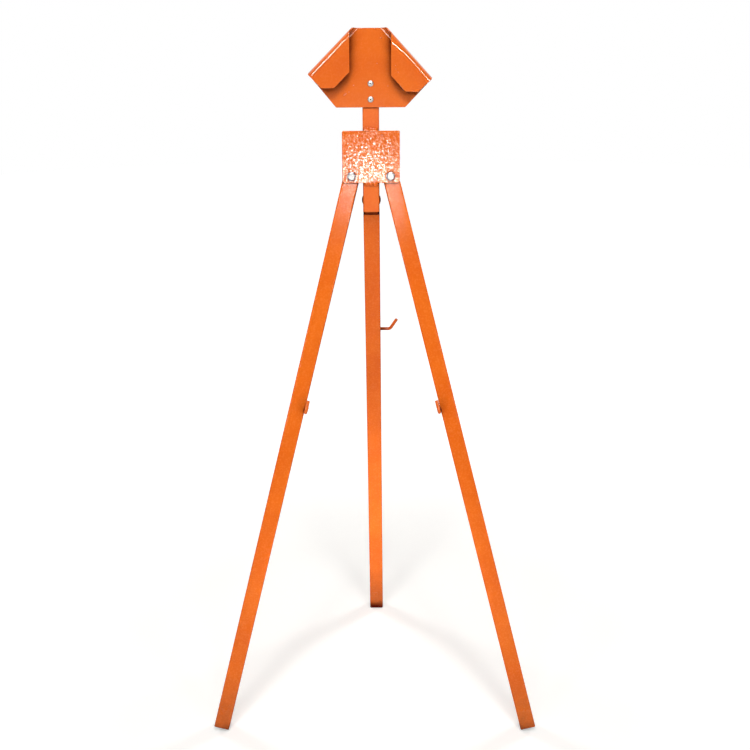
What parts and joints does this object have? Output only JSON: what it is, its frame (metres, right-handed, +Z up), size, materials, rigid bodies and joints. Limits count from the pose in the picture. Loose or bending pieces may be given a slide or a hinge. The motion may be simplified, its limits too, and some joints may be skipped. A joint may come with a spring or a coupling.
{
  "type": "roadworks sign frame",
  "caption": "Folding steel tripod that holds a diamond roadworks sign in a folded head and on two leg hooks, with a ballast hook behind",
  "frame": {"origin": "on the ground under the middle of the open frame's outline", "axes": "+Z up, -Y towards the traffic that reads the sign, +X to the reader's right"},
  "size_m": [0.815, 0.637, 1.7022],
  "materials": {
    "orange_paint": "glossy orange-peel paint over steel",
    "zinc": "bright zinc plate",
    "dark_steel": "broken bare steel",
    "nylon": "moulded"
  },
  "bodies": {
    "frame": {"neck_tube": "orange_paint", "sign_head": "orange_paint", "head_rivets": "zinc", "rivet_mandrels": "dark_steel", "hub_front_plate": "orange_paint", "hub_rear_plate": "orange_paint", "hub_front_welds": "orange_paint", "hub_rear_welds": "orange_paint", "leg_pivot_bolts": "zinc", "leg_pivot_sleeves": "zinc", "leg_bolt_washers": "zinc", "leg_lock_nuts": "zinc", "lock_nut_inserts": "nylon", "rear_hinge_pin": "orange_paint"},
    "left_leg": {"left_leg_tube": "orange_paint", "left_sign_hook": "orange_paint", "left_hook_welds": "orange_paint"},
    "right_leg": {"right_leg_tube": "orange_paint", "right_sign_hook": "orange_paint", "right_hook_welds": "orange_paint"},
    "rear_leg": {"rear_leg_tube": "orange_paint", "rear_leg_tongue": "orange_paint", "tongue_weld": "orange_paint", "ballast_hook": "orange_paint", "ballast_hook_welds": "orange_paint"}
  },
  "joints": [
    {"name": "left_leg_fold", "type": "hinge", "parent": "frame", "child": "left_leg", "pos_m": [-0.045, -0.09216, 1.37118], "axis": [0, -0.9887, 0.15], "range_deg": [0, 13.83]},
    {"name": "right_leg_fold", "type": "hinge", "parent": "frame", "child": "right_leg", "pos_m": [0.045, -0.09216, 1.37118], "axis": [0, 0.9887, -0.15], "range_deg": [0, 13.83]},
    {"name": "rear_leg_fold", "type": "hinge", "parent": "frame", "child": "rear_leg", "pos_m": [0, -0.10026, 1.31779], "axis": [-1, 0, 0], "range_deg": [0, 25.51]}
  ]
}
